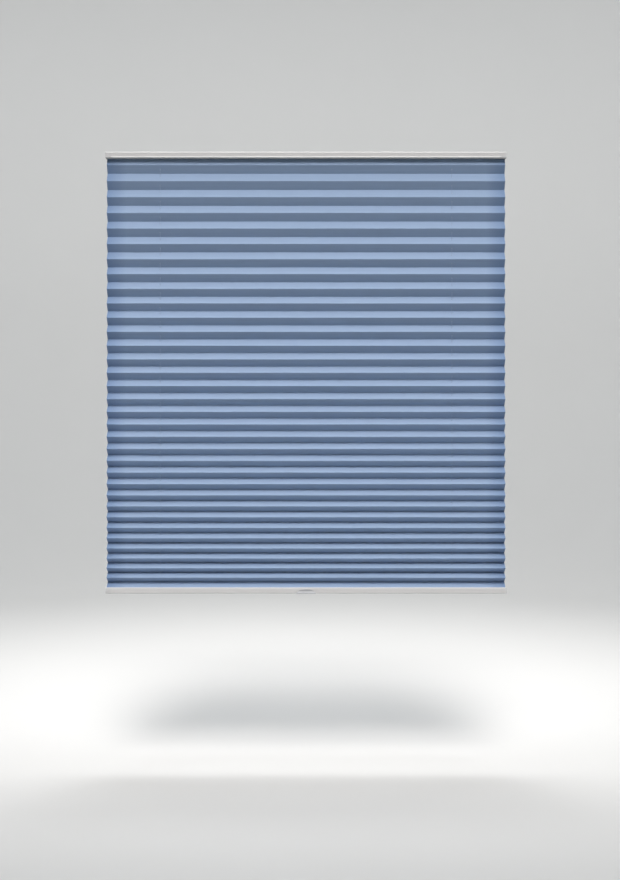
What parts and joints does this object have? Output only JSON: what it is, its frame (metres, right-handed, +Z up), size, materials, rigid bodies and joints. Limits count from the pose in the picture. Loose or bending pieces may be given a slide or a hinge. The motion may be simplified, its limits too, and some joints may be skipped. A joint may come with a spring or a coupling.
{
  "type": "pleated blind",
  "caption": "Free-hanging pleated blind: slim head rail with a spring lift inside, zigzag-folded fabric, and a weighted bottom rail with a pull tab that stays at any height.",
  "frame": {"origin": "top face of the mounting clips, midway between their screw holes", "axes": "+Z up towards the lintel or bead that the blind is screwed to, X along the rails, -Y towards the room"},
  "size_m": [0.863, 0.03, 0.9504],
  "materials": {
    "rail_coat": "satin",
    "cap_plastic": "satin",
    "tab_plastic": "satin",
    "clip_steel": "satin",
    "pleat_fabric": "matte",
    "strip_plastic": "matte",
    "motor_plastic": "matte",
    "wheel_plastic": "satin",
    "guide_plastic": "matte",
    "pin_steel": "polished",
    "spring_steel": "satin",
    "lift_cord": "matte",
    "weight_steel": "satin"
  },
  "bodies": {
    "head": {"head_rail": "rail_coat", "head_cap_left": "cap_plastic", "head_cap_right": "cap_plastic", "mounting_clip_left": "clip_steel", "mounting_clip_right": "clip_steel", "upper_fabric_strip": "strip_plastic", "motor_tray": "motor_plastic", "motor_cover": "motor_plastic", "axle_pins": "pin_steel", "cover_screws": "pin_steel", "drive_spring": "spring_steel", "guide_block_left": "guide_plastic", "guide_block_right": "guide_plastic", "guide_pin_left": "pin_steel", "guide_pin_right": "pin_steel", "pleated_fabric": "pleat_fabric", "lift_cord_left": "lift_cord", "lift_cord_right": "lift_cord"},
    "bottom": {"bottom_rail": "rail_coat", "bottom_cap_left": "cap_plastic", "bottom_cap_right": "cap_plastic", "lower_fabric_strip": "strip_plastic", "weight_bar": "weight_steel", "cord_anchor_left": "guide_plastic", "cord_anchor_right": "guide_plastic", "pull_tab": "tab_plastic"},
    "left_spool": {"cord_spool_left": "wheel_plastic", "cord_winding_left": "lift_cord"},
    "right_spool": {"cord_spool_right": "wheel_plastic", "cord_winding_right": "lift_cord"},
    "idler": {"idler_gear": "wheel_plastic"},
    "storage": {"storage_drum": "wheel_plastic"},
    "output": {"output_drum": "wheel_plastic"}
  },
  "joints": [
    {"name": "rail_slide", "type": "slide", "parent": "head", "child": "bottom", "axis": [0, 0, 1], "range_m": [-0.26, 0.88], "deforming": ["pleated_fabric", "lift_cord_left", "lift_cord_right"]},
    {"name": "left_spool_spin", "type": "hinge", "parent": "head", "child": "left_spool", "pos_m": [-0.02699, 0, -0.006], "axis": [0, 0, 1], "range_deg": [-2143, 7218]},
    {"name": "right_spool_spin", "type": "hinge", "parent": "head", "child": "right_spool", "pos_m": [0.02699, 0, -0.006], "axis": [0, 0, 1], "range_deg": [-7218, 2143]},
    {"name": "idler_spin", "type": "hinge", "parent": "head", "child": "idler", "pos_m": [-0.009, 0, -0.006], "axis": [0, 0, 1], "range_deg": [-7218, 2143]},
    {"name": "output_spin", "type": "hinge", "parent": "head", "child": "output", "pos_m": [0.009, 0, -0.006], "axis": [0, 0, 1], "range_deg": [-2143, 7218]},
    {"name": "storage_spin", "type": "hinge", "parent": "head", "child": "storage", "pos_m": [-0.009, 0, -0.006], "axis": [0, 0, 1], "range_deg": [-11054, 3277]}
  ],
  "couplings": [
    {"joint": "left_spool_spin", "follows": "rail_slide", "rad_per_m": 142.86},
    {"joint": "right_spool_spin", "follows": "rail_slide", "rad_per_m": -142.86},
    {"joint": "idler_spin", "follows": "rail_slide", "rad_per_m": -142.86},
    {"joint": "output_spin", "follows": "rail_slide", "rad_per_m": 142.86},
    {"joint": "storage_spin", "follows": "rail_slide", "rad_per_m": -218.94}
  ]
}
